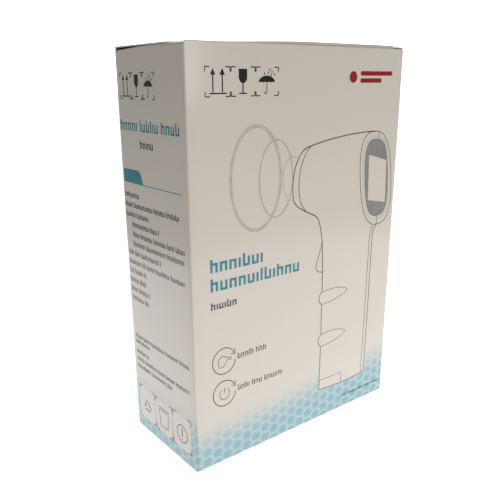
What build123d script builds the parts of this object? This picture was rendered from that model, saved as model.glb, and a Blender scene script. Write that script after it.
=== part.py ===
from build123d import *
import math
import os

# A retail carton of coated board holding a pistol-grip infrared thermometer.
# Millimetres. Origin: centre of the carton's bottom face. The printed front panel faces -Y,
# the left side panel faces -X. The thermometer stands on its grip with its nose towards -X.

# ---- carton ----
CARTON_W = 124.0
CARTON_D = 54.0
CARTON_H = 180.0
BOARD = 0.5
LID_GAP = 0.4
TUCK_LENGTH = 14.0
TUCK_LEAN = 8.0
DUST_FLAP_LENGTH = 36.0
DUST_FLAP_TAPER = 0.55
GLUE_FLAP_WIDTH = 14.0

# ---- foam base and leaflet ----
FOAM_TOP = 22.0
SOCKET_FLOOR = 7.5
SOCKET_CLEARANCE = 0.4
HATCH_TRAVEL = 21.0
LEAFLET_SIZE = (46.0, 118.0)
LEAFLET_LEAVES = 8

# ---- thermometer, in its own frame: x from nose to display, z up from the grip's foot ----
DEVICE_X = -45.5
WALL = 2.0
GRIP_FRONT = 26.0
GRIP_BACK = 68.0
GRIP_THICKNESS = 34.0
GRIP_CORNER = 13.0
GRIP_STRAIGHT = 84.0
NOSE_START = 9.0
NOSE_Z = 138.0
# x of the section, half width, half height, height of its centre
HEAD_SECTIONS = ((NOSE_START, 18.2, 18.4, NOSE_Z), (32.0, 21.0, 21.9, 137.1), (57.0, 24.0, 26.3, 134.6))
DISPLAY_X = 79.0
DISPLAY_Z = 132.6
DISPLAY_TILT = 6.0
DISPLAY_HALF = (25.3, 29.3)
# front edge, back edge and height of the grip's sections where it flares into the head
FLARE_SECTIONS = ((26.0, 68.0, GRIP_STRAIGHT), (25.2, 69.2, 95.0), (23.4, 71.6, 107.0), (20.5, 75.0, 120.0))
RIDGE_HEIGHTS = (63.1, 34.6)
RIDGE_HALF = 4.2
RIDGE_PROUD = 3.1
HATCH_DEPTH = 46.6
HATCH_HEIGHT = 6.9
TRIGGER_PIVOT = (28.0, 97.0)
TRIGGER_HALF = 5.0
# x, z and the height of the head above the split plane
SCREWS = ((57.0, 12.0, 14.6), (57.0, 64.0, 14.6), (55.0, 98.0, 14.6), (31.0, 112.0, 13.2),
          (36.0, 152.0, 12.4), (62.0, 154.0, 13.4))
SCREW_R = 1.1
SCREW_HEAD_R = 2.2
SCREW_HEAD_H = 1.6
CELL_R = 5.2
CELL_LENGTH = 43.3
CELL_X = 37.4
CELL_Y = 6.1
CELL_FLOOR = 6.8
CONTACT_FLOOR = 5.4

W2 = CARTON_W / 2
D2 = CARTON_D / 2
DUST_Z = CARTON_H - 2 * BOARD


def block(x0, x1, y0, y1, z0, z1):
    """A box between two opposite corners."""
    middle = ((x0 + x1) / 2, (y0 + y1) / 2, (z0 + z1) / 2)
    return Pos(*middle) * Box(x1 - x0, y1 - y0, z1 - z0)


def tube(outer, inner, start, end):
    """A hollow cylinder along local Z."""
    ring = Circle(outer) - Circle(inner)
    return extrude(Pos(0, 0, start) * ring, end - start)


def disc(radius, start, end):
    """A solid cylinder along local Z."""
    return extrude(Pos(0, 0, start) * Circle(radius), end - start)


def coil(radius, wire, pitch, height):
    """A round-wire compression spring along local Z, starting at zero height."""
    path = Helix(pitch=pitch, height=height, radius=radius)
    start = Plane(origin=path @ 0, z_dir=path % 0)
    return sweep(start * Circle(wire), path=path, is_frenet=True)


# ---------------------------------------------------------------- carton


def carton_walls():
    """The four upright panels, the glue flap inside the back left corner and the bottom flaps."""
    inner_x = W2 - BOARD
    inner_y = D2 - BOARD
    glue_end = GLUE_FLAP_WIDTH - inner_x
    parts = {
        "carton_front_panel": block(-W2, W2, -D2, -inner_y, 0, CARTON_H),
        "carton_back_panel": block(-W2, W2, inner_y, D2, 0, CARTON_H - BOARD),
        "carton_left_panel": block(-W2, -inner_x, -inner_y, inner_y, 0, DUST_Z),
        "carton_right_panel": block(inner_x, W2, -inner_y, inner_y, 0, DUST_Z),
        "carton_glue_flap": block(-inner_x, glue_end, inner_y - BOARD, inner_y, 3, DUST_Z - 3),
        "bottom_outer_flap": block(-inner_x, inner_x, -inner_y, inner_y, 0, BOARD),
        "bottom_inner_flap": block(-inner_x, inner_x, -inner_y, 8, BOARD, 2 * BOARD),
    }
    half_gap = 12.0
    for side, name in ((-1, "bottom_dust_flap_left"), (1, "bottom_dust_flap_right")):
        low, high = sorted((side * half_gap, side * inner_x))
        parts[name] = block(low, high, -inner_y, inner_y - BOARD, 2 * BOARD, 3 * BOARD)
    return parts


def lid():
    """The hinged lid panel; its back edge is the crease and its outer back corner is the axis."""
    half = W2 - 0.2
    front = -(D2 - BOARD - LID_GAP)
    return block(-half, half, front, D2, CARTON_H - BOARD, CARTON_H)


def tuck_flap():
    """The flap on the lid's front edge, tucked down behind the front panel and leaning inwards."""
    front = -(D2 - BOARD - LID_GAP)
    top = CARTON_H - BOARD
    lean = math.radians(TUCK_LEAN)
    face = Plane(origin=(0, front, top), x_dir=(1, 0, 0), z_dir=(0, -math.cos(lean), -math.sin(lean)))
    outline = Pos(0, (1 - TUCK_LENGTH) / 2) * Rectangle(CARTON_W - 3, TUCK_LENGTH + 1)
    outline = fillet(outline.vertices().group_by(Axis.Y)[0], 6.0)
    flap = extrude(face * outline, -BOARD)
    return flap & block(-W2, W2, -D2, D2, top - 2 * TUCK_LENGTH, top)


def dust_flap(side):
    """A side flap under the lid, tapered away from the lid's crease."""
    root = D2 - 2.0
    tip = root - DUST_FLAP_TAPER * DUST_FLAP_LENGTH
    front = -(D2 - 3.0)
    end = W2 - DUST_FLAP_LENGTH
    crease = side * W2
    edge = side * end
    outline = Polyline((crease, front), (crease, root), (edge, tip), (edge, front), close=True)
    flap = extrude(Pos(0, 0, DUST_Z) * make_face(outline), BOARD)
    corners = flap.edges().filter_by(Axis.Z).filter_by(lambda e: abs(e.center().X) < end + 1)
    return fillet(corners, 5.0)


def foam_base():
    """The foam block that holds the grip's foot, with a slot that clears the battery door."""
    foam = block(-W2 + 1, W2 - 1, -D2 + 1, D2 - 1, 3 * BOARD, FOAM_TOP)
    foam = chamfer(foam.edges().filter_by(Axis.Z), 2.0)
    centre = DEVICE_X + (GRIP_FRONT + GRIP_BACK) / 2
    depth = GRIP_BACK - GRIP_FRONT + 2 * SOCKET_CLEARANCE
    width = GRIP_THICKNESS + 2 * SOCKET_CLEARANCE
    socket = Pos(centre, 0, SOCKET_FLOOR) * RectangleRounded(depth, width, GRIP_CORNER)
    foam -= extrude(socket, FOAM_TOP)
    slot_end = DEVICE_X + GRIP_FRONT - HATCH_TRAVEL - 1.5
    foam -= block(slot_end, centre, -width / 2, width / 2, SOCKET_FLOOR, FOAM_TOP + 1)
    return foam


def leaflet():
    """The folded instruction leaflet: thin leaves joined at alternate ends."""
    wide, tall = LEAFLET_SIZE
    leaf = 0.55
    pitch = 0.75
    start = -W2 + 1.5
    paper = None
    for i in range(LEAFLET_LEAVES):
        x = start + i * pitch
        sheet = block(x, x + leaf, -wide / 2, wide / 2, FOAM_TOP, FOAM_TOP + tall)
        paper = sheet if paper is None else paper + sheet
        if i + 1 < LEAFLET_LEAVES:
            end = wide / 2 if i % 2 else -wide / 2
            inner = end - math.copysign(leaf, end)
            low, high = sorted((end, inner))
            paper += block(x, x + pitch + leaf, low, high, FOAM_TOP, FOAM_TOP + tall)
    return paper


# ---------------------------------------------------------------- thermometer casing


def nose_plane():
    """Local Z runs back from the nose along the sensor's axis."""
    return Plane(origin=(0, 0, NOSE_Z), x_dir=(0, 1, 0), z_dir=(1, 0, 0))


def display_plane(offset=0.0):
    """Local Z points out of the display, local Y up its face."""
    tilt = math.radians(DISPLAY_TILT)
    out = Vector(math.cos(tilt), 0, math.sin(tilt))
    return Plane(origin=Vector(DISPLAY_X, 0, DISPLAY_Z) + out * offset, x_dir=(0, 1, 0), z_dir=out)


def head(inset, reach):
    """The barrel of the head, from the round nose to the oval display end."""
    sections = []
    for i, (x, half_y, half_z, z) in enumerate(HEAD_SECTIONS):
        shift = -reach if i == 0 else 0.0
        plane = Plane(origin=(x + shift, 0, z), x_dir=(0, 1, 0), z_dir=(1, 0, 0))
        sections.append(plane * Ellipse(half_y - inset, half_z - inset))
    sections.append(display_plane(reach) * Ellipse(DISPLAY_HALF[0] - inset, DISPLAY_HALF[1] - inset))
    return loft(sections)


def grip_outline(front, back, z, inset):
    depth = back - front - 2 * inset
    outline = RectangleRounded(depth, GRIP_THICKNESS - 2 * inset, GRIP_CORNER - inset)
    return Pos((front + back) / 2, 0, z) * outline


def grip(inset):
    """The straight grip and the flare that carries it into the head."""
    foot = grip_outline(GRIP_FRONT, GRIP_BACK, inset, inset)
    straight = extrude(foot, GRIP_STRAIGHT - inset)
    straight = fillet(straight.edges().group_by(Axis.Z)[0], 3.0 - inset * 0.9)
    flare = loft([grip_outline(front, back, z, inset) for front, back, z in FLARE_SECTIONS])
    return straight + flare


def ridge(z):
    """A leaf-shaped finger ridge that swells out round the front of the grip."""
    shapes = []
    for lift, proud in ((-RIDGE_HALF - 0.5, 0.0), (0.0, 1.0), (RIDGE_HALF + 0.5, 0.0)):
        front = GRIP_FRONT - RIDGE_PROUD * proud
        outline = RectangleRounded(GRIP_BACK - front, GRIP_THICKNESS + 1.8 * proud, GRIP_CORNER + proud)
        shapes.append(Pos((front + GRIP_BACK) / 2, 0, z + lift) * outline)
    swell = loft(shapes)
    start = GRIP_FRONT - 8
    tip = 48.5
    top = ThreePointArc((start, z + RIDGE_HALF), (38.5, z + 0.72 * RIDGE_HALF), (tip, z))
    low = ThreePointArc((tip, z), (38.5, z - 0.72 * RIDGE_HALF), (start, z - RIDGE_HALF))
    close = Line((start, z - RIDGE_HALF), (start, z + RIDGE_HALF))
    leaf = make_face(Curve() + [top, low, close])
    prism = extrude(Plane.XZ * leaf, GRIP_THICKNESS, both=True)
    return swell & prism


def casing():
    """Both casing halves and the battery door, cut from one shell."""
    outer = head(0.0, 0.0) + grip(0.0)
    for z in RIDGE_HEIGHTS:
        outer += ridge(z)
    inner = head(WALL, WALL) + grip(WALL)
    shell = outer - inner
    # Screw towers and the two posts that carry the trigger pin, trimmed to the outer shape.
    towers = None
    for x, z, _ in SCREWS:
        tower = Pos(x, 0, z) * Rot(90, 0, 0) * Cylinder(3.1, 60)
        towers = tower if towers is None else towers + tower
    pivot_x, pivot_z = TRIGGER_PIVOT
    for side in (-1, 1):
        low, high = sorted((side * (TRIGGER_HALF + 0.5), side * 16.0))
        post = Pos(pivot_x, (low + high) / 2, pivot_z) * Rot(90, 0, 0) * Cylinder(2.5, high - low)
        towers += post
    shell += towers & outer
    slot = TRIGGER_HALF + 0.25
    shell -= block(15, 31, -slot, slot, 79.2, 100.2)
    shell -= Pos(pivot_x, 0, pivot_z) * Rot(90, 0, 0) * Cylinder(1.0, 17)
    # The battery door is the front lower corner, parted by a tenth of a millimetre.
    door = (outer - inner) & block(0, HATCH_DEPTH - 0.1, -30, 30, -1, HATCH_HEIGHT - 0.1)
    shell -= block(0, HATCH_DEPTH, -30, 30, -1, HATCH_HEIGHT)
    left = shell & block(-5, 95, -40, 0, -5, 170)
    right = shell & block(-5, 95, 0, 40, -5, 170)
    for x, z, top in SCREWS:
        at = Pos(x, 0, z) * Rot(-90, 0, 0)
        left -= at * disc(SCREW_R, -8.2, 1)
        right -= at * disc(SCREW_R + 0.3, -1, 30)
        right -= at * disc(SCREW_HEAD_R + 0.3, top - SCREW_HEAD_H, 30)
    return left, right, door


def casing_screws():
    """Six pan-head screws driven from the right half into the left one."""
    screws = []
    for x, z, top in SCREWS:
        neck = top - SCREW_HEAD_H
        screw = disc(SCREW_R, -8.0, neck) + disc(SCREW_HEAD_R, neck, top)
        for width, depth in ((2.6, 0.6), (0.6, 2.6)):
            screw -= block(-width / 2, width / 2, -depth / 2, depth / 2, top - 0.8, top + 1)
        screws.append(Pos(x, 0, z) * Rot(-90, 0, 0) * screw)
    return Compound(screws)


# ---------------------------------------------------------------- nose and sensor


def nose_ring():
    """The rounded ring on the nose, with a spigot inside the barrel and a lip over the window."""
    front = Polyline((12.5, 3.5), (12.5, 1.6), (14.8, 0.0))
    side = ThreePointArc((14.8, 0.0), (17.5, 1.8), (18.3, 5.0))
    spigot = ((18.3, 5.0), (18.3, 9.0), (16.1, 9.0), (16.1, 12.0), (14.6, 12.0), (14.6, 3.5), (12.5, 3.5))
    profile = make_face(Curve() + [front, side, Polyline(*spigot)])
    return nose_plane() * revolve(Plane.XZ * profile, Axis.Z)


def reflector_cone():
    """The funnel that limits what the sensor sees."""
    outline = Polyline((14.4, 4.9), (14.4, 6.3), (12.4, 6.3), (6.6, 24.0), (5.2, 24.0), (10.8, 4.9), close=True)
    return nose_plane() * revolve(Plane.XZ * make_face(outline), Axis.Z)


def sensor_holder():
    """The collar behind the funnel that carries the sensor."""
    return nose_plane() * tube(8.0, 4.9, 24.1, 34.0)


def thermopile_sensor():
    can = disc(4.5, 25.5, 29.5) + disc(4.8, 29.5, 30.3)
    for i in range(4):
        angle = math.radians(45 + 90 * i)
        can += Pos(2.4 * math.cos(angle), 2.4 * math.sin(angle), 0) * disc(0.25, 30.3, 33.2)
    return nose_plane() * can


# ---------------------------------------------------------------- display and boards


def display_plate(outline, start, end):
    return display_plane() * extrude(Pos(0, 0, start) * outline, end - start)


def display_frame():
    """The oval bezel: a rounded ring, an inner ledge for the mask and a spigot into the casing."""
    body = extrude(Ellipse(*DISPLAY_HALF), 3.2)
    body = fillet(body.edges().group_by(Axis.Z)[-1], 2.4)
    body -= extrude(Pos(0, 0, 1.2) * RectangleRounded(36.2, 48.2, 16.6), 4)
    body -= extrude(Pos(0, 0, -1) * RectangleRounded(34, 46, 15.5), 4)
    spigot = extrude(Pos(0, 0, -3) * Ellipse(22.2, 25.4), 3.1)
    spigot -= extrude(Pos(0, 0, -4) * Ellipse(21.0, 24.2), 6)
    return display_plane() * (body + spigot)


def display_mask():
    """The dark panel, with a rectangular opening for the liquid crystal window."""
    mask = RectangleRounded(36, 48, 16.5) - RectangleRounded(30, 28, 1.0)
    return display_plate(mask, 1.2, 2.6)


def board_chips():
    """Controller, memory, connector and a row of small parts on the back of the main board."""
    face = -6.6
    chips = [display_plate(Pos(-2, -5) * Rectangle(9, 9), face - 1.6, face)]
    chips.append(display_plate(Pos(11, 8) * Rectangle(4, 5), face - 1.2, face))
    chips.append(display_plate(Pos(-11, -13) * Rectangle(4, 8), face - 3.5, face))
    for i in range(6):
        chips.append(display_plate(Pos(-9 + 3.2 * i, 15.5) * Rectangle(1.0, 2.0), face - 0.8, face))
    return Compound(chips)


def sensor_ribbon():
    """The flat cable from the sensor back to the main board."""
    return block(33.3, 71.6, -4, 4, NOSE_Z - 0.15, NOSE_Z + 0.15)


# ---------------------------------------------------------------- trigger


def trigger_button():
    """The wedge-shaped trigger, hung from a pin at its top."""
    nose = Polyline((24.3, 99.4), (19.4, 84.6))
    chin = ThreePointArc((19.4, 84.6), (20.0, 81.8), (24.6, 80.5))
    back = Polyline((24.6, 80.5), (29.6, 80.9), (30.0, 84.0), (30.0, 99.4), (24.3, 99.4))
    body = extrude(Plane.XZ * make_face(Curve() + [nose, chin, back]), TRIGGER_HALF, both=True)
    front = body.edges().filter_by(Axis.Y).sort_by(Axis.X)[:1]
    body = fillet(front, 1.5)
    x, z = TRIGGER_PIVOT
    return body - Pos(x, 0, z) * Rot(90, 0, 0) * Cylinder(1.05, 20)


def trigger_spring():
    return Pos(30.4, 0, 91) * Rot(0, 90, 0) * coil(2.2, 0.3, 1.25, 5.0)


def tact_switch():
    body = block(33.0, 36.0, -3, 3, 80.5, 86.5)
    return body + Pos(0, 0, 83.5) * Rot(0, -90, 0) * disc(1.6, -33.1, -32.1)


# ---------------------------------------------------------------- batteries


def battery_frame():
    """The holder for two cells, open at the bottom and shut at the top."""
    frame = block(29.6, 45.4, -12.6, 12.6, 8.3, 58.0)
    for side in (-1, 1):
        cell = Pos(CELL_X, side * CELL_Y, 0)
        frame -= cell * disc(CELL_R + 0.25, 8, 56.0)
    return frame & grip(WALL + 0.3)


def batteries():
    """Two AAA cells, one each way up."""
    cells = []
    for side in (-1, 1):
        cell = disc(CELL_R, 0, CELL_LENGTH)
        cell = fillet(cell.edges(), 0.6)
        cell += disc(1.9, CELL_LENGTH - 0.1, CELL_LENGTH + 1.2)
        if side > 0:
            cell = Pos(0, 0, CELL_LENGTH + 1.2) * Rot(180, 0, 0) * cell
        cells.append(Pos(CELL_X, side * CELL_Y, CELL_FLOOR) * cell)
    return Compound(cells)


def battery_springs():
    springs = [Pos(CELL_X, side * CELL_Y, 51.9) * coil(3.0, 0.3, 0.9, 3.2) for side in (-1, 1)]
    return Compound(springs)


def battery_contacts():
    """The two nickel plates under the frame's closed top."""
    plates = [Pos(CELL_X, side * CELL_Y) * disc(4.6, 55.55, 55.95) for side in (-1, 1)]
    return Compound(plates)


def battery_door(shell):
    """The sliding foot of the grip, with a tongue above the casing's floor and a rib for the contact."""
    tongue = block(40, HATCH_DEPTH - 0.2, -8, 8, 1.5, 3.4) + block(HATCH_DEPTH - 0.2, 51, -8, 8, 2.1, 3.4)
    rib = block(33, 41.5, -9, 9, 1.5, CONTACT_FLOOR)
    return shell + tongue + rib


def door_contact():
    """The plate that joins the two cells, with a raised pad under each; it slides below the casing's edge."""
    plate_top = CONTACT_FLOOR + 0.4
    contact = block(33, 41.5, -9, 9, CONTACT_FLOOR, plate_top)
    for side in (-1, 1):
        contact += Pos(0, side * CELL_Y, 0) * block(35, 39.5, -2, 2, plate_top, CELL_FLOOR - 0.2)
    return contact


def thermometer():
    left, right, door = casing()
    return {
        "left_casing": left,
        "right_casing": right,
        "casing_screws": casing_screws(),
        "nose_ring": nose_ring(),
        "infrared_window": nose_plane() * disc(14.5, 3.6, 4.8),
        "reflector_cone": reflector_cone(),
        "sensor_holder": sensor_holder(),
        "thermopile_sensor": thermopile_sensor(),
        "sensor_ribbon": sensor_ribbon(),
        "display_frame": display_frame(),
        "display_mask": display_mask(),
        "display_window": display_plate(RectangleRounded(29.8, 27.8, 0.9), 1.2, 2.6),
        "lcd_module": display_plate(RectangleRounded(32, 30, 0.8), -3.3, -0.3),
        "lcd_holder": display_plate(RectangleRounded(34, 33, 2) - RectangleRounded(28, 27, 1), -5.0, -3.3),
        "main_board": display_plate(RectangleRounded(34, 42, 10), -6.6, -5.0),
        "board_chips": board_chips(),
        "buzzer": display_plate(Pos(3, -14) * Circle(4.5), -10.6, -6.6),
        "trigger_button": trigger_button(),
        "trigger_pin": Pos(TRIGGER_PIVOT[0], 0, TRIGGER_PIVOT[1]) * Rot(90, 0, 0) * Cylinder(1.0, 16.8),
        "trigger_spring": trigger_spring(),
        "trigger_board": block(36.0, 37.2, -8, 8, 76, 104),
        "tact_switch": tact_switch(),
        "battery_frame": battery_frame(),
        "batteries": batteries(),
        "battery_springs": battery_springs(),
        "battery_contacts": battery_contacts(),
        "battery_door": battery_door(door),
        "door_contact": door_contact(),
    }


def main():
    os.makedirs("parts", exist_ok=True)
    parts = carton_walls()
    parts["carton_lid"] = lid()
    parts["carton_tuck_flap"] = tuck_flap()
    parts["dust_flap_left"] = dust_flap(-1)
    parts["dust_flap_right"] = dust_flap(1)
    parts["foam_base"] = foam_base()
    parts["instruction_leaflet"] = leaflet()
    for name, shape in thermometer().items():
        parts[name] = Pos(DEVICE_X, 0, SOCKET_FLOOR) * shape
    for name, shape in parts.items():
        export_step(shape, f"parts/{name}.step")


main()
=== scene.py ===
"""Looks for the boxed infrared thermometer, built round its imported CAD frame. Metres, +Z up.

The carton's walls and lid are folded sheets of coated board, the print on them is thin ink
shapes that lie on the board, and the thermometer inside keeps its CAD pieces.
"""
import math
import random

import bmesh
import bpy
from mathutils import Matrix, Vector


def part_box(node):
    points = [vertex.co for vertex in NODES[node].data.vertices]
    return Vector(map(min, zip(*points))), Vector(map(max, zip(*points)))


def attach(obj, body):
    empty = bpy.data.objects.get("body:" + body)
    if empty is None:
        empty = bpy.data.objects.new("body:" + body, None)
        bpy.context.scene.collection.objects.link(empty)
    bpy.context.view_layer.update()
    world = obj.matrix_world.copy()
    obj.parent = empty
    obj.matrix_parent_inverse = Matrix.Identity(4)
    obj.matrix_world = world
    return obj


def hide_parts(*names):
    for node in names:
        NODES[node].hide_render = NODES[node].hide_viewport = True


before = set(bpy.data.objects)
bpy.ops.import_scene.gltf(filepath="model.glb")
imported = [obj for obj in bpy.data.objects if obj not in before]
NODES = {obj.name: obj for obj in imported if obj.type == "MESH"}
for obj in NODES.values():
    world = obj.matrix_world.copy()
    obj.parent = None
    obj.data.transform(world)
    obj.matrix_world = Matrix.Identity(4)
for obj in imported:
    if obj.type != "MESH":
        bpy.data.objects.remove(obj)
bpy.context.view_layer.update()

MM = 0.001
BOARD = 0.5 * MM
CREASE = 0.8 * MM
BULGE = 0.35 * MM
INK = 0.03 * MM
INK_LIFT = 0.012 * MM
CUT = 4.5 * MM
DIP = 1.0 * MM
CUT_SLOPE = 0.4 * MM
DIP_END = 26 * MM
LID_BOW = 1.4 * MM
LID_NOTCH = 6.4 * MM
TUCK_LEAN = math.radians(8.0)
TUCK_CORNER = 6 * MM
FLAP_CORNER = 5 * MM
FLAP_TAPER = 0.55
FLAP_SPRING = 1.3 * MM
FLAP_EAR = 2.3 * MM

LOW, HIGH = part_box("carton_front_panel")
WIDTH = HIGH.x - LOW.x
HEIGHT = HIGH.z
FRONT_Y = LOW.y
BACK_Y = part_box("carton_back_panel")[1].y
DEPTH = BACK_Y - FRONT_Y


# ---------------------------------------------------------------- camera, stage and light


def camera():
    """Stands at the front left corner, a little under the carton's rim, as a product shot does."""
    yaw, pitch, roll = (math.radians(angle) for angle in (37.92, -17.55, -0.32))
    forward = Vector((math.sin(yaw) * math.cos(pitch), math.cos(yaw) * math.cos(pitch), math.sin(pitch)))
    level = Vector((math.cos(yaw), -math.sin(yaw), 0.0))
    upward = level.cross(forward)
    right = level * math.cos(roll) + upward * math.sin(roll)
    up = right.cross(forward)
    data = bpy.data.cameras.new("camera")
    data.sensor_width = 36.0
    data.lens = 43.18
    data.shift_x = 0.0084
    data.shift_y = 0.0441
    data.clip_start = 0.01
    eye = bpy.data.objects.new("camera", data)
    eye.matrix_world = Matrix((right, up, -forward)).transposed().to_4x4()
    eye.location = Vector((-185.0, -219.5, 165.3)) * MM
    bpy.context.scene.collection.objects.link(eye)
    bpy.context.scene.camera = eye


def area_light(name, place, aim, size, power, colour):
    data = bpy.data.lights.new(name, "AREA")
    data.shape = "RECTANGLE"
    data.size, data.size_y = size
    data.energy = power
    data.color = colour
    lamp = bpy.data.objects.new(name, data)
    lamp.location = place
    lamp.rotation_euler = (Vector(aim) - Vector(place)).to_track_quat("-Z", "Y").to_euler()
    bpy.context.scene.collection.objects.link(lamp)


# ---------------------------------------------------------------- material building


class Finish:
    """One material, with short calls for the nodes that feed its Principled shader."""

    def __init__(self, name, **sockets):
        self.material = bpy.data.materials.new(name)
        self.material.use_nodes = True
        self.tree = self.material.node_tree
        self.shader = self.tree.nodes["Principled BSDF"]
        for socket, value in sockets.items():
            self.feed(self.shader.inputs[socket.replace("_", " ")], value)

    def feed(self, socket, value):
        if isinstance(value, bpy.types.NodeSocket):
            self.tree.links.new(value, socket)
        elif isinstance(value, tuple) and len(value) == 3 and len(socket.default_value) == 4:
            socket.default_value = (*value, 1.0)
        else:
            socket.default_value = value

    def node(self, kind, settings=None, **sockets):
        made = self.tree.nodes.new(kind)
        for key, value in (settings or {}).items():
            setattr(made, key, value)
        for socket, value in sockets.items():
            self.feed(made.inputs[socket.replace("_", " ")], value)
        return made

    def math(self, operation, a, b=0.0):
        made = self.tree.nodes.new("ShaderNodeMath")
        made.operation = operation
        self.feed(made.inputs[0], a)
        self.feed(made.inputs[1], b)
        return made.outputs[0]

    def mix(self, share, a, b):
        made = self.tree.nodes.new("ShaderNodeMix")
        made.data_type = "RGBA"
        self.feed(made.inputs["Factor"], share)
        self.feed(made.inputs[6], a)
        self.feed(made.inputs[7], b)
        return made.outputs[2]

    def ramp(self, value, start, end, low=0.0, high=1.0):
        """Eases from low at start to high at end."""
        made = self.node("ShaderNodeMapRange", {"interpolation_type": "SMOOTHSTEP"}, Value=value)
        made.inputs["From Min"].default_value = start
        made.inputs["From Max"].default_value = end
        made.inputs["To Min"].default_value = low
        made.inputs["To Max"].default_value = high
        return made.outputs[0]

    def place(self, output="Object"):
        return self.node("ShaderNodeTexCoord").outputs[output]

    def split(self, vector):
        return self.node("ShaderNodeSeparateXYZ", Vector=vector).outputs

    def cell_borders(self, scale):
        """Distance to the borders of random rounded cells."""
        settings = {"feature": "DISTANCE_TO_EDGE"}
        return self.node("ShaderNodeTexVoronoi", settings, Vector=self.place(), Scale=scale).outputs[0]

    def noise(self, scale, detail=2.0, vector=None):
        made = self.node("ShaderNodeTexNoise", Vector=vector or self.place(), Scale=scale, Detail=detail)
        return made.outputs["Fac"]

    def bump(self, height, distance, strength=1.0):
        made = self.node("ShaderNodeBump", Height=height, Distance=distance, Strength=strength)
        self.feed(self.shader.inputs["Normal"], made.outputs[0])

    def colour(self, value):
        self.feed(self.shader.inputs["Base Color"], value)

    def roughness(self, value):
        self.feed(self.shader.inputs["Roughness"], value)


def shade(colour, factor):
    return tuple(channel * factor for channel in colour)


def plastic(name, colour, rough, grain=2600.0, grain_depth=0.012, **sockets):
    """Moulded plastic: fine spark texture, faint flow variation and uneven gloss."""
    finish = Finish(name, **sockets)
    flow = finish.noise(45.0, 3.0)
    finish.colour(finish.mix(finish.ramp(flow, 0.3, 0.7), shade(colour, 0.955), colour))
    finish.roughness(finish.ramp(flow, 0.25, 0.75, rough * 0.88, rough * 1.12))
    finish.bump(finish.noise(grain, 2.0), grain_depth * MM, 0.6)
    return finish.material


def metal(name, colour, rough, stretch=(1.0, 1.0, 30.0)):
    """Drawn or stamped metal with fine scratches along one direction."""
    finish = Finish(name, Metallic=1.0)
    scaled = finish.node("ShaderNodeMapping", Vector=finish.place(), Scale=stretch).outputs[0]
    lines = finish.noise(900.0, 3.0, scaled)
    finish.colour(finish.mix(finish.ramp(lines, 0.35, 0.65), shade(colour, 0.86), colour))
    finish.roughness(finish.ramp(lines, 0.3, 0.7, rough * 0.7, rough * 1.35))
    finish.bump(lines, 0.004 * MM, 0.5)
    return finish.material


# ---------------------------------------------------------------- board and ink finishes

BOARD_WHITE = (0.80, 0.745, 0.675)
HEX_BLUE = (0.30, 0.495, 0.565)
HEX_LINE = (0.53, 0.675, 0.715)
INNER_DARK = (0.40, 0.315, 0.25)
INNER_PALE = (0.56, 0.47, 0.39)
HEX_ACROSS = 3.72 * MM
HEX_UP = 3.09 * MM


def laminate(finish, depth=0.010):
    """The film over the print: nearly flat, with the faint waviness of board under it."""
    wave = finish.noise(60.0, 2.0)
    fibre = finish.noise(1400.0, 3.0)
    finish.bump(finish.math("ADD", finish.math("MULTIPLY", wave, 3.0), fibre), depth * MM, 0.5)
    finish.roughness(finish.ramp(wave, 0.2, 0.8, 0.28, 0.32))
    for socket, value in (("Coat Weight", 1.0), ("Coat Roughness", 0.12), ("Specular IOR Level", 0.1)):
        finish.shader.inputs[socket].default_value = value


def honeycomb(finish, across, up):
    """How far a point is from the nearest edge of flat-topped hexagons of radius 1, 0 on the edge."""
    root = math.sqrt(3)
    nearest = None
    for shift_x, shift_y in ((0.0, 0.0), (1.5, root / 2)):
        x = finish.math("FLOORED_MODULO", finish.math("ADD", across, shift_x), 3.0)
        y = finish.math("FLOORED_MODULO", finish.math("ADD", up, shift_y), root)
        x = finish.math("ABSOLUTE", finish.math("SUBTRACT", x, 1.5))
        y = finish.math("ABSOLUTE", finish.math("SUBTRACT", y, root / 2))
        slant = finish.math("ADD", finish.math("MULTIPLY", x, root / 2), finish.math("MULTIPLY", y, 0.5))
        reach = finish.math("MAXIMUM", slant, y)
        nearest = reach if nearest is None else finish.math("MINIMUM", nearest, reach)
    return finish.math("SUBTRACT", root / 2, nearest)


def printed_board():
    """Coated white board whose foot fades into blue hexagons. UV is in metres: along the wall and up."""
    finish = Finish("printed_board")
    along, up, _ = finish.split(finish.node("ShaderNodeUVMap").outputs[0])
    edge = honeycomb(finish, finish.math("DIVIDE", along, HEX_ACROSS), finish.math("DIVIDE", up, HEX_UP))
    cell = finish.ramp(edge, 0.03, 0.20)
    heart = finish.ramp(edge, 0.15, 0.62)
    blue = finish.mix(heart, shade(HEX_BLUE, 1.18), HEX_BLUE)
    pattern = finish.mix(cell, HEX_LINE, blue)
    across_front = finish.math("MULTIPLY", finish.math("MINIMUM", along, WIDTH), 0.075)
    foot = finish.ramp(finish.math("SUBTRACT", up, across_front), 23 * MM, 3 * MM)
    mottle = finish.ramp(finish.noise(18.0, 3.0), 0.2, 0.8)
    white = finish.mix(mottle, shade(BOARD_WHITE, 0.985), BOARD_WHITE)
    finish.colour(finish.mix(foot, white, pattern))
    laminate(finish)
    return finish.material


def plain_board():
    """The same coated board without print, for the lid and for the white ink over the hexagons."""
    finish = Finish("plain_board")
    mottle = finish.ramp(finish.noise(18.0, 3.0), 0.3, 0.7)
    finish.colour(finish.mix(mottle, shade(BOARD_WHITE, 0.985), BOARD_WHITE))
    laminate(finish)
    return finish.material


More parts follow.
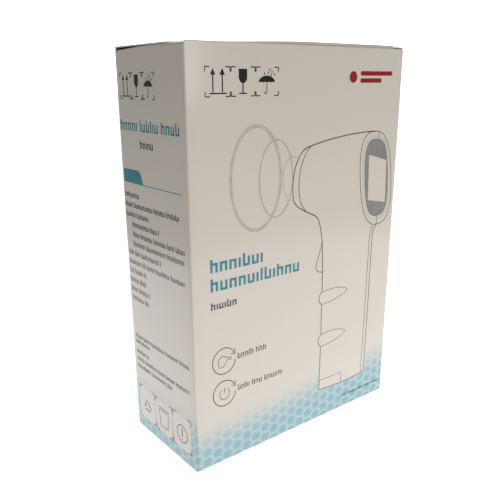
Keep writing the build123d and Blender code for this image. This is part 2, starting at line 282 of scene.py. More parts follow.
def inner_board():
    """The uncoated inside of the board: grey white with short recycled fibres."""
    finish = Finish("inner_board", Roughness=0.9)
    scaled = finish.node("ShaderNodeMapping", Vector=finish.place(), Scale=(1.0, 1.0, 0.25)).outputs[0]
    fibre = finish.noise(1100.0, 4.0, scaled)
    fleck = finish.ramp(finish.noise(520.0, 2.0), 0.64, 0.72)
    base = finish.mix(finish.ramp(fibre, 0.3, 0.7), INNER_DARK, INNER_PALE)
    finish.colour(finish.mix(fleck, base, (0.34, 0.30, 0.26)))
    finish.bump(fibre, 0.03 * MM, 0.8)
    return finish.material


def board_edge():
    """The cut edge: pressed layers of fibre between two white skins."""
    finish = Finish("board_edge", Roughness=0.85)
    layers = finish.noise(3000.0, 2.0)
    finish.colour(finish.mix(finish.ramp(layers, 0.35, 0.65), (0.80, 0.77, 0.71), (0.93, 0.91, 0.87)))
    finish.bump(layers, 0.03 * MM, 0.7)
    return finish.material


def flap_board():
    """Board flaps: coated on the side that faces up or out, bare fibre below."""
    finish = Finish("flap_board", Roughness=0.6)
    facing = finish.split(finish.place("Normal"))[2]
    fibre = finish.noise(1100.0, 4.0)
    bare = finish.mix(finish.ramp(fibre, 0.3, 0.7), INNER_DARK, INNER_PALE)
    finish.colour(finish.mix(finish.ramp(facing, 0.2, 0.7), bare, BOARD_WHITE))
    finish.bump(fibre, 0.02 * MM, 0.6)
    return finish.material


def ink(name, colour, spread=0.10):
    """Printed ink under the same laminate as the board, with a faintly uneven tone."""
    finish = Finish(name)
    tone = finish.ramp(finish.noise(260.0, 3.0), 0.3, 0.7)
    finish.colour(finish.mix(tone, shade(colour, 1 - spread), shade(colour, 1 + spread)))
    laminate(finish, 0.006)
    return finish.material


INKS = {
    "black": ink("ink_black", (0.012, 0.012, 0.013)),
    "red": ink("ink_red", (0.36, 0.012, 0.010)),
    "teal": ink("ink_teal", (0.012, 0.25, 0.33)),
    "dark": ink("ink_dark", (0.035, 0.033, 0.032)),
    "line": ink("ink_line", (0.075, 0.068, 0.060)),
    "ring": ink("ink_ring", (0.62, 0.565, 0.505)),
    "pale": ink("ink_pale", (0.56, 0.51, 0.455)),
    "soft": ink("ink_soft", (0.21, 0.195, 0.18)),
    "panel": ink("ink_panel", (0.31, 0.30, 0.285)),
    "white": plain_board(),
}


# ---------------------------------------------------------------- mesh building


def make_object(name, vertices, faces, materials, indices=None, uv=None, smooth=True):
    mesh = bpy.data.meshes.new(name)
    mesh.from_pydata([tuple(v) for v in vertices], [], faces)
    for finish in materials:
        mesh.materials.append(finish)
    if indices is not None:
        mesh.polygons.foreach_set("material_index", indices)
    if uv is not None:
        layer = mesh.uv_layers.new(name="UVMap")
        for loop in mesh.loops:
            layer.data[loop.index].uv = uv[loop.vertex_index]
    mesh.polygons.foreach_set("use_smooth", [smooth] * len(mesh.polygons))
    mesh.update()
    piece = bpy.data.objects.new(name, mesh)
    bpy.context.scene.collection.objects.link(piece)
    return piece


def sharp_below(piece, degrees):
    """Keeps edges sharper than this angle crisp while the rest shades smoothly."""
    piece.data.set_sharp_from_angle(angle=math.radians(degrees))


def clamp(value, low, high):
    """0 at low and 1 at high, straight between."""
    return min(max((value - low) / (high - low), 0.0), 1.0)


def round_inset(left, radius):
    """How far a rounded corner stands in from the side, this far from the end."""
    return radius - math.sqrt(max(radius ** 2 - (radius - left) ** 2, 0.0)) if left < radius else 0.0


def folded_faces(rows, across):
    """Faces and material numbers of a folded strip: outer side 0, inner side 1, cut edges 2."""
    faces, indices = [], []
    stride = 2 * (across + 1)
    for j in range(rows - 1):
        here, there = j * stride, (j + 1) * stride
        inside, inside_there = here + across + 1, there + across + 1
        for i in range(across):
            faces.append((here + i, there + i, there + i + 1, here + i + 1))
            faces.append((inside + i, inside + i + 1, inside_there + i + 1, inside_there + i))
            indices += [0, 1]
        faces.append((here, inside, inside_there, there))
        faces.append((here + across, there + across, inside_there + across, inside + across))
        indices += [2, 2]
    end = (rows - 1) * stride
    for i in range(across):
        faces.append((i, i + 1, across + 2 + i, across + 1 + i))
        faces.append((end + i, end + across + 1 + i, end + across + 2 + i, end + i + 1))
        indices += [2, 2]
    return faces, indices


# ---------------------------------------------------------------- carton walls


class Wall:
    """One upright side of the carton: a point on it is (distance from its left edge, height)."""

    def __init__(self, corner, along, outward, length, top):
        self.corner = Vector(corner)
        self.along = Vector(along)
        self.outward = Vector(outward)
        self.length = length
        self.top = top

    def swell(self, distance, height):
        """The slight bow of a filled carton's wall, nothing at its four edges."""
        share = clamp(distance, 0.0, self.length)
        rise = clamp(height, 0.0, HEIGHT)
        return BULGE * math.sin(math.pi * share) * math.sin(math.pi * rise)

    def rim(self, distance):
        """Height of the wall's top edge; the left one is dragged down a little at its back end."""
        return self.top - DIP * max(1 - distance / DIP_END, 0.0) * (self.along.y < 0)

    def point(self, distance, height, lift=0.0):
        out = lift + self.swell(distance, height)
        return self.corner + self.along * distance + self.outward * out + Vector((0, 0, height))


def walls():
    half = WIDTH / 2
    side_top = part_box("carton_left_panel")[1].z
    back_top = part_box("carton_back_panel")[1].z
    return {
        "front": Wall((-half, FRONT_Y, 0), (1, 0, 0), (0, -1, 0), WIDTH, HEIGHT),
        "right": Wall((half, FRONT_Y, 0), (0, 1, 0), (1, 0, 0), DEPTH, side_top),
        "back": Wall((half, BACK_Y, 0), (-1, 0, 0), (0, 1, 0), WIDTH, back_top),
        "left": Wall((-half, BACK_Y, 0), (0, -1, 0), (-1, 0, 0), DEPTH, side_top),
    }


WALLS = walls()


def sleeve_columns():
    """Points round the carton at floor level.

    Each is its place, outward direction, distance round the carton, wall, and distance along that wall.
    """
    columns = []
    start = 0.0
    sides = list(WALLS.values())
    for i, wall in enumerate(sides):
        following = sides[(i + 1) % 4]
        steps = 28 if wall.length > 2 * DEPTH else 14
        for k in range(steps + 1):
            distance = CREASE + (wall.length - 2 * CREASE) * k / steps
            place = wall.corner + wall.along * distance
            columns.append((place, wall.outward, start + distance, wall, distance))
        centre = following.corner - wall.along * CREASE + following.along * CREASE
        for k in range(1, 6):
            angle = math.pi / 2 * k / 6
            outward = wall.outward * math.cos(angle) + following.outward * math.sin(angle)
            side = wall if k < 3 else following
            around = start + wall.length - CREASE + 2 * CREASE * k / 6
            columns.append((centre + outward * CREASE, outward, around, side, 0.0))
        start += wall.length
    return columns


def carton_sleeve(finishes):
    """The four walls as one folded sheet with rounded upright creases."""
    columns = sleeve_columns()
    rows = 36
    vertices, uv = [], []
    for place, outward, around, wall, distance in columns:
        for depth in (0.0, BOARD):
            for j in range(rows + 1):
                height = (wall.rim(distance) - CUT_SLOPE * (depth == 0.0)) * j / rows
                bow = wall.swell(distance, height)
                vertices.append(place + outward * (bow - depth) + Vector((0, 0, height)))
                uv.append((around, height))
    faces, indices = [], []
    stride = 2 * (rows + 1)
    count = len(columns)
    for i in range(count):
        here, there = i * stride, (i + 1) % count * stride
        inside, inside_there = here + rows + 1, there + rows + 1
        for j in range(rows):
            faces.append((here + j, there + j, there + j + 1, here + j + 1))
            faces.append((inside + j, inside + j + 1, inside_there + j + 1, inside_there + j))
            indices += [0, 1]
        faces.append((here + rows, there + rows, inside_there + rows, inside + rows))
        faces.append((here, inside, inside_there, there))
        indices += [2, 2]
    piece = make_object("carton_sleeve", vertices, faces, finishes, indices, uv)
    last = (count - 1) * stride
    total = 2 * (WIDTH + DEPTH)
    layer = piece.data.uv_layers[0].data
    for face in piece.data.polygons:
        if face.index >= len(faces) - 2 * rows - 2:
            for loop in face.loop_indices:
                if piece.data.loops[loop].vertex_index < last:
                    layer[loop].uv = (layer[loop].uv[0] + total, layer[loop].uv[1])
    sharp_below(piece, 40)
    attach(piece, "carton")
    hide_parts("carton_front_panel", "carton_back_panel", "carton_left_panel", "carton_right_panel")
    return piece


def lid_profile():
    """Outer line of the lid from its back crease to the tuck flap's end: y, z, normal, half width."""
    tuck_low, tuck_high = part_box("carton_tuck_flap")
    lid_low, lid_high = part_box("carton_lid")
    back = (lid_high.y - CREASE, lid_high.z - CREASE)
    front = (lid_low.y + CREASE, lid_high.z - CREASE)
    lines = []
    for k in range(7):
        angle = math.radians(25 + 65 * k / 6)
        z = back[1] + CREASE * math.sin(angle)
        lines.append((back[0] + CREASE * math.cos(angle), z, angle, lid_high.x))
    for k in range(1, 24):
        y = back[0] + (front[0] - back[0]) * k / 24
        lines.append((y, lid_high.z, math.pi / 2, lid_half_width(y, lid_high.x)))
    for k in range(9):
        angle = math.pi / 2 + (math.pi / 2 + TUCK_LEAN) * k / 8
        y = front[0] + CREASE * math.cos(angle)
        lines.append((y, front[1] + CREASE * math.sin(angle), angle, lid_half_width(y, lid_high.x)))
    y, z, angle, root = lines[-1]
    length = (z - tuck_low.z) / math.cos(TUCK_LEAN)
    half = tuck_high.x
    for k in range(1, 19):
        run = length * k / 18
        narrow = max(round_inset(length - run, TUCK_CORNER), (half - root) * clamp(run, 4 * MM, 1 * MM))
        lines.append((y + run * math.sin(TUCK_LEAN), z - run * math.cos(TUCK_LEAN), angle, half - narrow))
    return lines


def lid_lift(x, y):
    """How the shut lid stands off the front panel: bowed up along its front crease."""
    forward = clamp(y, 8 * MM, -20 * MM) ** 1.5
    return LID_BOW * forward * math.sin(math.pi / 2 * clamp(x, -55 * MM, 5 * MM)) ** 2


def lid_half_width(y, half):
    """The lid is notched where it meets the tuck flap, so that the flap's ears lock."""
    return half - LID_NOTCH * clamp(y, -15 * MM, -18 * MM)


def carton_lid(finishes):
    """Lid and tuck flap as one folded sheet."""
    profile = lid_profile()
    across = 40
    vertices, uv = [], []
    travelled = 0.0
    last = None
    for y, z, angle, half in profile:
        if last is not None:
            travelled += math.hypot(y - last[0], z - last[1])
        last = (y, z)
        for depth in (0.0, BOARD):
            for i in range(across + 1):
                x = half * (2 * i / across - 1)
                rise = lid_lift(x, y)
                vertices.append((x, y - depth * math.cos(angle), z - depth * math.sin(angle) + rise))
                uv.append((x, travelled))
    faces, indices = folded_faces(len(profile), across)
    piece = make_object("folded_lid", vertices, faces, finishes, indices, uv)
    sharp_below(piece, 40)
    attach(piece, "lid")
    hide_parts("carton_lid", "carton_tuck_flap")
    return piece


def dust_flap(side, name, finishes):
    """One side flap under the lid, folded in from its wall. The right one's front corner springs up."""
    low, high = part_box(name)
    root = max(abs(low.x), abs(high.x))
    tip = min(abs(low.x), abs(high.x))
    lines = []
    for k in range(6):
        angle = math.pi / 2 * k / 5
        x = root - CREASE + CREASE * math.cos(angle)
        lines.append((x, high.z - CREASE + CREASE * math.sin(angle), angle))
    steps = 26
    for k in range(1, steps + 1):
        x = root - CREASE - (root - CREASE - tip) * math.sin(math.pi / 2 * k / steps)
        lines.append((x, high.z, math.pi / 2))
    across = 22
    vertices = []
    for x, z, angle in lines:
        inset = round_inset(x - tip, FLAP_CORNER)
        front = low.y + inset - FLAP_EAR * clamp(x, 55 * MM, 57 * MM) * (side > 0)
        back = high.y - FLAP_TAPER * (root - x) - inset
        for depth in (0.0, BOARD):
            for i in range(across + 1):
                y = front + (back - front) * i / across
                if side < 0:
                    rise = -DIP * clamp(y, 0.0, DIP_END)
                else:
                    corner = clamp(x, 42 * MM, 56 * MM) ** 2 * clamp(y, -12 * MM, -23 * MM)
                    rise = FLAP_SPRING * corner * clamp(angle, 0.0, 0.6)
                outer = side * (x - depth * math.cos(angle))
                vertices.append((outer, y, z - depth * math.sin(angle) + rise))
    faces, indices = folded_faces(len(lines), across)
    piece = make_object(f"folded_{name}", vertices, faces, finishes, indices)
    sharp_below(piece, 40)
    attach(piece, "left_flap" if side < 0 else "right_flap")
    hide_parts(name)


# ---------------------------------------------------------------- ink on the walls


class Print:
    """Thin closed ink shapes on one wall, in millimetres from its lower left corner."""

    def __init__(self, wall_name):
        self.name = wall_name
        self.wall = WALLS[wall_name]
        self.shapes = {}

    def sheet(self, colour):
        return self.shapes.setdefault(colour, ([], []))

    def put(self, colour, x, z, layer):
        """Adds the upper and lower vertex of one outline point; layer lifts overprinted ink."""
        vertices, _ = self.sheet(colour)
        base = INK_LIFT + layer * INK
        vertices.append((x * MM, z * MM, base + INK))
        vertices.append((x * MM, z * MM, base))
        return len(vertices) - 2

    def fill(self, colour, outline, layer=0):
        """A filled flat shape with the given outline, listed anticlockwise."""
        tops = [self.put(colour, x, z, layer) for x, z in outline]
        _, faces = self.sheet(colour)
        faces.append(tuple(tops))
        faces.append(tuple(i + 1 for i in reversed(tops)))
        for i, here in enumerate(tops):
            there = tops[(i + 1) % len(tops)]
            faces.append((there, here, here + 1, there + 1))

    def box(self, colour, x0, z0, x1, z1, layer=0):
        self.fill(colour, ((x0, z0), (x1, z0), (x1, z1), (x0, z1)), layer)

    def pill(self, colour, x0, z0, x1, z1, layer=0):
        """A bar with round ends along its longer side."""
        radius = min(x1 - x0, z1 - z0) / 2
        outline = []
        for k in range(12):
            angle = math.pi * (k + 0.5) / 6
            x = (x1 - radius if math.cos(angle) > 0 else x0 + radius) + radius * math.cos(angle)
            z = (z1 - radius if math.sin(angle) > 0 else z0 + radius) + radius * math.sin(angle)
            outline.append((x, z))
        self.fill(colour, outline, layer)

    def stroke(self, colour, points, width, closed=False, layer=0):
        """A line of constant width along the points, split where it is long."""
        route = []
        ends = list(points) + ([points[0]] if closed else [])
        for (x0, z0), (x1, z1) in zip(ends, ends[1:]):
            pieces = max(1, math.ceil(math.hypot(x1 - x0, z1 - z0) / 5.0))
            route += [(x0 + (x1 - x0) * k / pieces, z0 + (z1 - z0) * k / pieces) for k in range(pieces)]
        if not closed:
            route.append(ends[-1])
        count = len(route)
        sides = []
        for i, (x, z) in enumerate(route):
            before = route[i - 1] if i or closed else route[i]
            after = route[(i + 1) % count] if i + 1 < count or closed else route[i]
            dx, dz = after[0] - before[0], after[1] - before[1]
            size = math.hypot(dx, dz) or 1.0
            across, up = -dz / size * width / 2, dx / size * width / 2
            left = self.put(colour, x + across, z + up, layer)
            sides.append((left, self.put(colour, x - across, z - up, layer)))
        _, faces = self.sheet(colour)
        for i in range(count if closed else count - 1):
            left, right = sides[i]
            left_on, right_on = sides[(i + 1) % count]
            faces.append((left, right, right_on, left_on))
            faces.append((left + 1, left_on + 1, right_on + 1, right + 1))
            faces.append((left, left_on, left_on + 1, left + 1))
            faces.append((right, right + 1, right_on + 1, right_on))
        if not closed:
            left, right = sides[0]
            faces.append((left, left + 1, right + 1, right))
            left, right = sides[-1]
            faces.append((left, right, right + 1, left + 1))

    def finish(self):
        """Cuts the flat shapes into cells, so that they follow the bowed wall, and lays them on it."""
        for colour, (vertices, faces) in self.shapes.items():
            name = f"{self.name}_print_{colour}"
            piece = make_object(name, vertices, faces, [INKS[colour]], smooth=False)
            sheet = bmesh.new()
            sheet.from_mesh(piece.data)
            for length, normal in ((self.wall.length, (1, 0, 0)), (HEIGHT, (0, 1, 0))):
                for k in range(1, math.ceil(length / CUT)):
                    place = Vector(normal) * CUT * k
                    geometry = [*sheet.verts, *sheet.edges, *sheet.faces]
                    bmesh.ops.bisect_plane(sheet, geom=geometry, plane_co=place, plane_no=normal, dist=1e-7)
            for vertex in sheet.verts:
                vertex.co = self.wall.point(*vertex.co)
            bmesh.ops.recalc_face_normals(sheet, faces=sheet.faces)
            sheet.to_mesh(piece.data)
            sheet.free()
            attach(piece, "carton")


def arc(x, z, radius_x, radius_z, start, end, steps=40, power=2.0, slant=0.0):
    """Points of a (super)ellipse between two angles in degrees; slant shears it sideways."""
    points = []
    for k in range(steps + 1):
        angle = math.radians(start + (end - start) * k / steps)
        c, s = math.cos(angle), math.sin(angle)
        up = radius_z * math.copysign(abs(s) ** (2 / power), s)
        across = radius_x * math.copysign(abs(c) ** (2 / power), c)
        points.append((x + across + slant * up, z + up))
    return points


def curve(points, steps=8):
    """A smooth line through a few points (Catmull-Rom)."""
    padded = [points[0], *points, points[-1]]
    smooth = []
    for i in range(1, len(padded) - 2):
        p0, p1, p2, p3 = padded[i - 1 : i + 3]
        for k in range(steps):
            t = k / steps
            place = []
            for a, b, c, d in zip(p0, p1, p2, p3):
                cubic = (2 * a - 5 * b + 4 * c - d) * t * t + (3 * b - a - 3 * c + d) * t ** 3
                place.append(0.5 * (2 * b + (c - a) * t + cubic))
            smooth.append(tuple(place))
    smooth.append(points[-1])
    return smooth


def filler_text(art, colour, x0, x1, z, height, seed, weight=0.15, words=True):
    """A line of marks that spell nothing: upright bars, linked at the foot or the head like letters."""
    draw = random.Random(seed)
    bar, gap, body = height * weight, height * 0.19, height * 0.74
    x = x0
    while x + bar < x1:
        for k in range(draw.randint(3, 9) if words else 99):
            if x + bar > x1:
                return
            tall = height if k == 0 or draw.random() < 0.16 else body
            art.box(colour, x, z, x + bar, z + tall)
            if draw.random() < 0.72 and x + 2 * bar + 1.25 * gap < x1:
                after = x + bar + 1.25 * gap
                level = z if draw.random() < 0.45 else z + body - bar * 0.9
                art.box(colour, x + bar, level, after, level + bar * 0.9)
                art.box(colour, after, z, after + bar, z + body)
                x = after
            x += bar + gap
        x += height * 0.34


def pictograms(art, x, z, wide, tall):
    """Three plain transport marks, each between corner brackets: this way up, fragile, keep dry."""
    cell, gap, height, line = 11.7, 0.5, 10.8, 0.42 * tall

    def at(across, up):
        return x + across * wide, z + up * tall

    def bar(left, low, right, high):
        art.box("black", *at(left, low), *at(right, high))

    for k in range(3):
        left = k * (cell + gap)
        for side, inward in ((left, 1), (left + cell, -1)):
            for level, upward in ((0.0, 1), (height, -1)):
                art.stroke("dark", (at(side + inward * 2.2, level), at(side, level)), line)
                art.stroke("dark", (at(side, level), at(side, level + upward * 1.76)), line)
    for arrow in (3.6, 8.0):
        bar(arrow - 0.28, 1.6, arrow + 0.28, 8.2)
        art.fill("black", (at(arrow - 1.25, 7.9), at(arrow + 1.25, 7.9), at(arrow, 10.3)))
    bar(1.9, 0.9, 10.1, 1.4)
    glass = 17.9
    bowl = arc(*at(glass, 7.2), 2.05 * wide, 2.4 * tall, 180, 360, 18)
    art.fill("black", [*bowl, at(glass + 2.05, 10.1), at(glass - 2.05, 10.1)])
    bar(glass - 0.26, 1.2, glass + 0.26, 5.0)
    bar(glass - 1.9, 0.8, glass + 1.9, 1.25)
    rain = 30.0
    canopy = arc(*at(rain, 4.9), 4.3 * wide, 2.7 * tall, 0, 180, 24)
    scallops = []
    for k in range(4):
        middle = rain - 4.3 + (k + 0.5) * 2.15
        scallops += arc(*at(middle, 4.9), 1.075 * wide, 0.35 * tall, 180, 0, 6)[:-1]
    art.fill("black", [*canopy[:-1], *scallops])
    hook = arc(*at(rain - 0.75, 1.6), 0.75 * wide, 0.8 * tall, 180, 360, 10)
    art.stroke("dark", [*hook, at(rain, 4.9)], 0.36 * tall)
    for across, up in ((-1.3, 8.4), (0.7, 8.7), (1.6, 9.9), (2.6, 9.0), (2.2, 7.8), (4.0, 8.1)):
        art.pill("black", *at(rain + across - 0.28, up - 0.42), *at(rain + across + 0.28, up + 0.42))


def device_drawing(art):
    """The outline drawing of the thermometer, nose to the left and display to the right."""
    line, thin = 0.46, 0.34
    art.stroke("line", curve(((65.1, 138.8), (60.4, 137.4), (57.0, 133.8), (54.8, 129.0), (53.9, 123.0),
                              (54.1, 117.0), (55.4, 114.0), (57.7, 112.0), (62.2, 109.6), (68.2, 106.8),
                              (70.3, 104.4), (71.9, 99.6), (73.0, 94.2))), line)
    art.stroke("line", curve(((64.1, 138.4), (60.8, 135.0), (58.3, 129.0), (57.4, 122.4), (57.9, 117.0),
                              (59.5, 112.8), (62.2, 109.7))), thin)
    crown = curve(((65.1, 138.8), (74.4, 140.5), (86.8, 142.0), (98.0, 142.7), (107.0, 142.8)))
    art.stroke("line", crown, line)
    art.stroke("line", arc(109.1, 119.8, 11.5, 23.0, 0, 360, 72, 2.6, -0.12)[:-1], thin, closed=True)
    art.stroke("ring", arc(109.3, 120.1, 9.7, 20.3, 0, 360, 72, 2.8, -0.10)[:-1], thin, closed=True)
    art.fill("panel", arc(109.4, 120.2, 8.7, 19.1, 0, 360, 72, 2.9, -0.10)[:-1])
    art.fill("white", ((103.9, 109.9), (117.0, 107.4), (116.1, 128.4), (103.0, 132.0)), layer=1)
    art.stroke("line", ((109.6, 142.4), (109.3, 139.6)), thin)
    art.stroke("line", ((111.2, 101.0), (111.4, 96.9)), thin)
    # The inside of the grip stays white over the hexagons.
    art.fill("white", ((74.5, 16.2), (75.4, 15.5), (90.0, 14.9), (99.0, 15.0), (108.2, 16.0),
                       (108.4, 36.0), (74.5, 36.0)))
    art.stroke("line", curve(((73.0, 94.2), (73.7, 85.0), (73.9, 78.9), (74.1, 70.5), (74.1, 68.7))),
               line, layer=1)
    art.stroke("soft", ((74.1, 62.4), (74.5, 46.3)), line, layer=1)
    sole = curve(((74.5, 40.0), (74.5, 30.0), (74.5, 17.4), (74.9, 16.0), (76.4, 15.6), (90.0, 14.9),
                  (99.3, 15.1), (108.3, 16.0)), 6)
    art.stroke("soft", sole, line, layer=1)
    trigger = curve(((73.0, 94.0), (71.4, 88.3), (69.7, 83.4), (69.6, 81.4), (70.9, 79.7), (73.8, 78.8)))
    art.stroke("soft", trigger, line)
    for foot, edge in ((62.4, 74.1), (40.0, 74.5)):
        knuckle = curve(((edge, foot + 6.3), (edge - 1.5, foot + 4.7), (edge - 1.9, foot + 3.0),
                         (edge - 1.3, foot + 1.3), (edge, foot)))
        art.stroke("soft", knuckle, line)
        ridge = curve(((edge, foot + 6.3), (79.0, foot + 6.6), (84.5, foot + 6.5), (89.3, foot + 5.4),
                       (91.8, foot + 3.9), (89.5, foot + 2.3), (85.0, foot + 1.0), (79.0, foot),
                       (edge, foot - 0.2)))
        art.stroke("soft", ridge, thin)
    art.stroke("soft", ((74.4, 21.0), (90.4, 20.7), (90.5, 15.0)), thin, layer=1)
    back_edge = curve(((111.2, 96.9), (109.3, 93.9), (108.8, 89.7), (108.6, 55.5), (108.2, 16.0)))
    art.stroke("soft", back_edge, line, layer=1)
    back_seam = curve(((108.1, 97.0), (106.8, 91.5), (106.7, 88.0), (106.3, 52.0), (105.9, 15.8)))
    art.stroke("soft", back_seam, thin, layer=1)


def badge(art, x, z, radius):
    """A ring that closes on itself with an arrowhead, on its right side."""
    art.stroke("line", arc(x, z, radius, radius, 20, 354, 60), 0.42)
    tip = (x + radius * math.cos(math.radians(18)), z + radius * math.sin(math.radians(18)))
    art.stroke("line", ((tip[0] - 2.0, tip[1] + 0.7), tip, (tip[0] + 0.1, tip[1] + 2.7)), 0.4)


def main_art(art, seed):
    """The wide walls: transport marks, a red dot and bars, rings, titles, two badges and the drawing."""
    pictograms(art, 8.9, 160.2, 1.0, 1.0)
    art.pill("red", 87.0, 164.8, 92.1, 169.9)
    art.pill("red", 94.2, 167.9, 116.4, 169.9)
    art.pill("red", 94.2, 164.8, 108.9, 166.8)
    art.stroke("ring", arc(33.5, 127.0, 13.3, 21.5, 0, 360, 72)[:-1], 1.5, closed=True)
    art.stroke("pale", arc(44.3, 126.1, 9.3, 16.4, 0, 360, 60)[:-1], 0.55, closed=True, layer=1)
    art.stroke("ring", arc(53.6, 125.4, 5.6, 9.6, 62, 280, 40), 0.45)
    device_drawing(art)
    filler_text(art, "teal", 9.3, 38.6, 90.9, 5.7, seed, 0.21, words=False)
    filler_text(art, "teal", 9.3, 59.7, 82.6, 5.7, seed + 1, 0.21, words=False)
    filler_text(art, "dark", 9.3, 23.8, 74.6, 3.3, seed + 2, 0.21, words=False)
    for z, right in ((49.8, 39.9), (34.2, 50.0)):
        badge(art, 15.5, z, 6.1)
        filler_text(art, "line", 22.8, right, z - 0.9, 2.9, seed + int(z), 0.15)
    hand = ((12.3, 50.6), (13.6, 52.0), (15.4, 52.3), (16.3, 51.4), (19.6, 50.6), (19.4, 49.9),
            (16.9, 49.9), (16.3, 48.3), (14.9, 47.0), (12.7, 47.2))
    art.stroke("line", hand, 0.3, closed=True)
    art.stroke("line", arc(15.5, 33.8, 2.6, 2.6, 125, 415, 40), 0.3)
    art.stroke("line", ((15.5, 37.0), (15.5, 34.4)), 0.3)
    filler_text(art, "dark", 91.8, 121.2, 5.9, 1.5, seed + 5, 0.16)


# left and right end of each line of the table, then left, right and height of the paragraphs' lines
SIDE_LINES = ((1.9, 14.5), (1.7, 47.7), (1.9, 22.2), (7.2, 30.7), (7.2, 50.3), (7.2, 50.1), (2.1, 31.6),
              (2.1, 50.1), (2.1, 17.4), (2.1, 17.4), (2.4, 20.0), (2.7, 18.8))
SIDE_PARAGRAPH = ((3.4, 50.3, 48.0), (3.4, 16.9, 45.0), (3.4, 15.9, 39.8), (3.7, 50.3, 36.0),
                  (3.7, 36.8, 32.2))


def side_art(art, seed):
    """The narrow walls: transport marks, titles, a table of data and three framed marks."""
    pictograms(art, 3.6, 159.0, 0.79, 0.95)
    filler_text(art, "teal", 1.6, 49.4, 145.9, 4.6, seed, 0.17)
    filler_text(art, "black", 18.3, 30.0, 139.0, 3.3, seed + 1, 0.17, words=False)
    tab = ((1.9, 123.8), (19.2, 123.8), (18.0, 127.2), (16.8, 128.8), (15.2, 129.4), (1.9, 129.4))
    art.fill("teal", tab)
    art.box("teal", 1.9, 123.5, 49.2, 123.8)
    for k, (left, right) in enumerate(SIDE_LINES):
        filler_text(art, "black", left, right, 117.0 - 4.47 * k, 2.5, seed + 10 + k, 0.19)
    for left, right, z in SIDE_PARAGRAPH:
        filler_text(art, "black", left, right, z + 0.6, 2.2, seed + int(z), 0.19)
    for k in range(3):
        left, cell, low, tall = 3.9 + 15.6 * k, 14.6, 6.2, 17.0
        art.box("white", left, low, left + cell, low + tall)
        for side_x, way_x in ((left, 1), (left + cell, -1)):
            for side_z, way_z in ((low, 1), (low + tall, -1)):
                art.stroke("dark", ((side_x + way_x * 2.6, side_z), (side_x, side_z)), 0.4, layer=1)
                art.stroke("dark", ((side_x, side_z), (side_x, side_z + way_z * 2.6)), 0.4, layer=1)
    for k in range(3):
        turn = math.radians(90 + 120 * k)
        corner = (11.2 + 4.2 * math.cos(turn), 13.6 + 4.2 * math.sin(turn))
        after = (11.2 + 4.2 * math.cos(turn + 2.09), 13.6 + 4.2 * math.sin(turn + 2.09))
        near = tuple(a + (b - a) * 0.16 for a, b in zip(corner, after))
        far = tuple(a + (b - a) * 0.80 for a, b in zip(corner, after))
        art.stroke("dark", (near, far), 0.8, layer=1)
    art.stroke("dark", ((23.4, 9.4), (22.6, 17.8), (30.6, 17.8), (29.8, 9.4)), 0.5, closed=True, layer=1)
    art.stroke("dark", ((21.8, 19.0), (31.4, 19.0)), 0.5, layer=1)
    art.stroke("dark", arc(42.4, 13.9, 4.3, 4.3, 0, 360, 36)[:-1], 0.5, closed=True, layer=1)
    art.pill("dark", 42.0, 12.4, 42.8, 16.8, layer=1)
    art.pill("dark", 42.0, 10.7, 42.8, 11.6, layer=1)


# ---------------------------------------------------------------- thermometer finishes


def circuit_board():
    """Green solder mask with copper tracks showing through and a woven core."""
    finish = Finish("circuit_board", Coat_Weight=0.4)
    track = finish.ramp(finish.cell_borders(420.0), 0.10, 0.05)
    weave = finish.noise(1800.0, 2.0)
    mask = finish.mix(weave, (0.012, 0.085, 0.035), (0.02, 0.13, 0.055))
    finish.colour(finish.mix(track, mask, (0.05, 0.24, 0.09)))
    finish.bump(track, 0.03 * MM, 0.6)
    finish.roughness(0.34)
    return finish.material


def cell_wrap():
    """Plastic sleeve of a battery cell: two plain bands, bare steel at the ends."""
    finish = Finish("cell_wrap")
    low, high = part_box("batteries")
    height = finish.split(finish.place())[2]
    middle = low.z + (high.z - low.z) * 0.66
    band = finish.ramp(height, middle - 0.2 * MM, middle + 0.2 * MM)
    wrap = finish.mix(band, (0.02, 0.12, 0.17), (0.55, 0.55, 0.56))
    near = finish.ramp(height, low.z + 1.5 * MM, low.z + 1.3 * MM)
    far = finish.ramp(height, high.z - 1.7 * MM, high.z - 1.5 * MM)
    bare = finish.math("MAXIMUM", near, far)
    finish.colour(finish.mix(bare, wrap, (0.62, 0.61, 0.58)))
    finish.feed(finish.shader.inputs["Metallic"], bare)
    finish.roughness(finish.ramp(finish.noise(300.0), 0.3, 0.7, 0.22, 0.32))
    return finish.material


def foam_finish():
    """Closed-cell foam: white, matte, with small beads pressed together."""
    depth = (0.002, 0.002, 0.002)
    finish = Finish("foam_base", Roughness=0.95, Subsurface_Weight=0.15, Subsurface_Radius=depth)
    seam = finish.ramp(finish.cell_borders(380.0), 0.0, 0.12)
    finish.colour(finish.mix(seam, (0.70, 0.70, 0.69), (0.88, 0.88, 0.87)))
    finish.bump(seam, 0.15 * MM, 0.7)
    return finish.material


def leaflet_paper():
    """Thin folded paper with rows of pale grey filler text, seen on its outer leaves."""
    finish = Finish("leaflet_paper", Roughness=0.8)
    _, along, up = finish.split(finish.place())
    row = finish.math("FRACT", finish.math("DIVIDE", up, 3.2 * MM))
    words = finish.noise(420.0, 1.0)
    typed = finish.math("MULTIPLY", finish.ramp(row, 0.52, 0.58), finish.ramp(words, 0.47, 0.50))
    margin = finish.ramp(finish.math("ABSOLUTE", along), 20 * MM, 19 * MM)
    fibre = finish.noise(1500.0, 3.0)
    paper = finish.mix(fibre, (0.80, 0.80, 0.78), (0.88, 0.88, 0.86))
    finish.colour(finish.mix(finish.math("MULTIPLY", typed, margin), paper, (0.28, 0.28, 0.29)))
    finish.bump(fibre, 0.01 * MM, 0.5)
    return finish.material


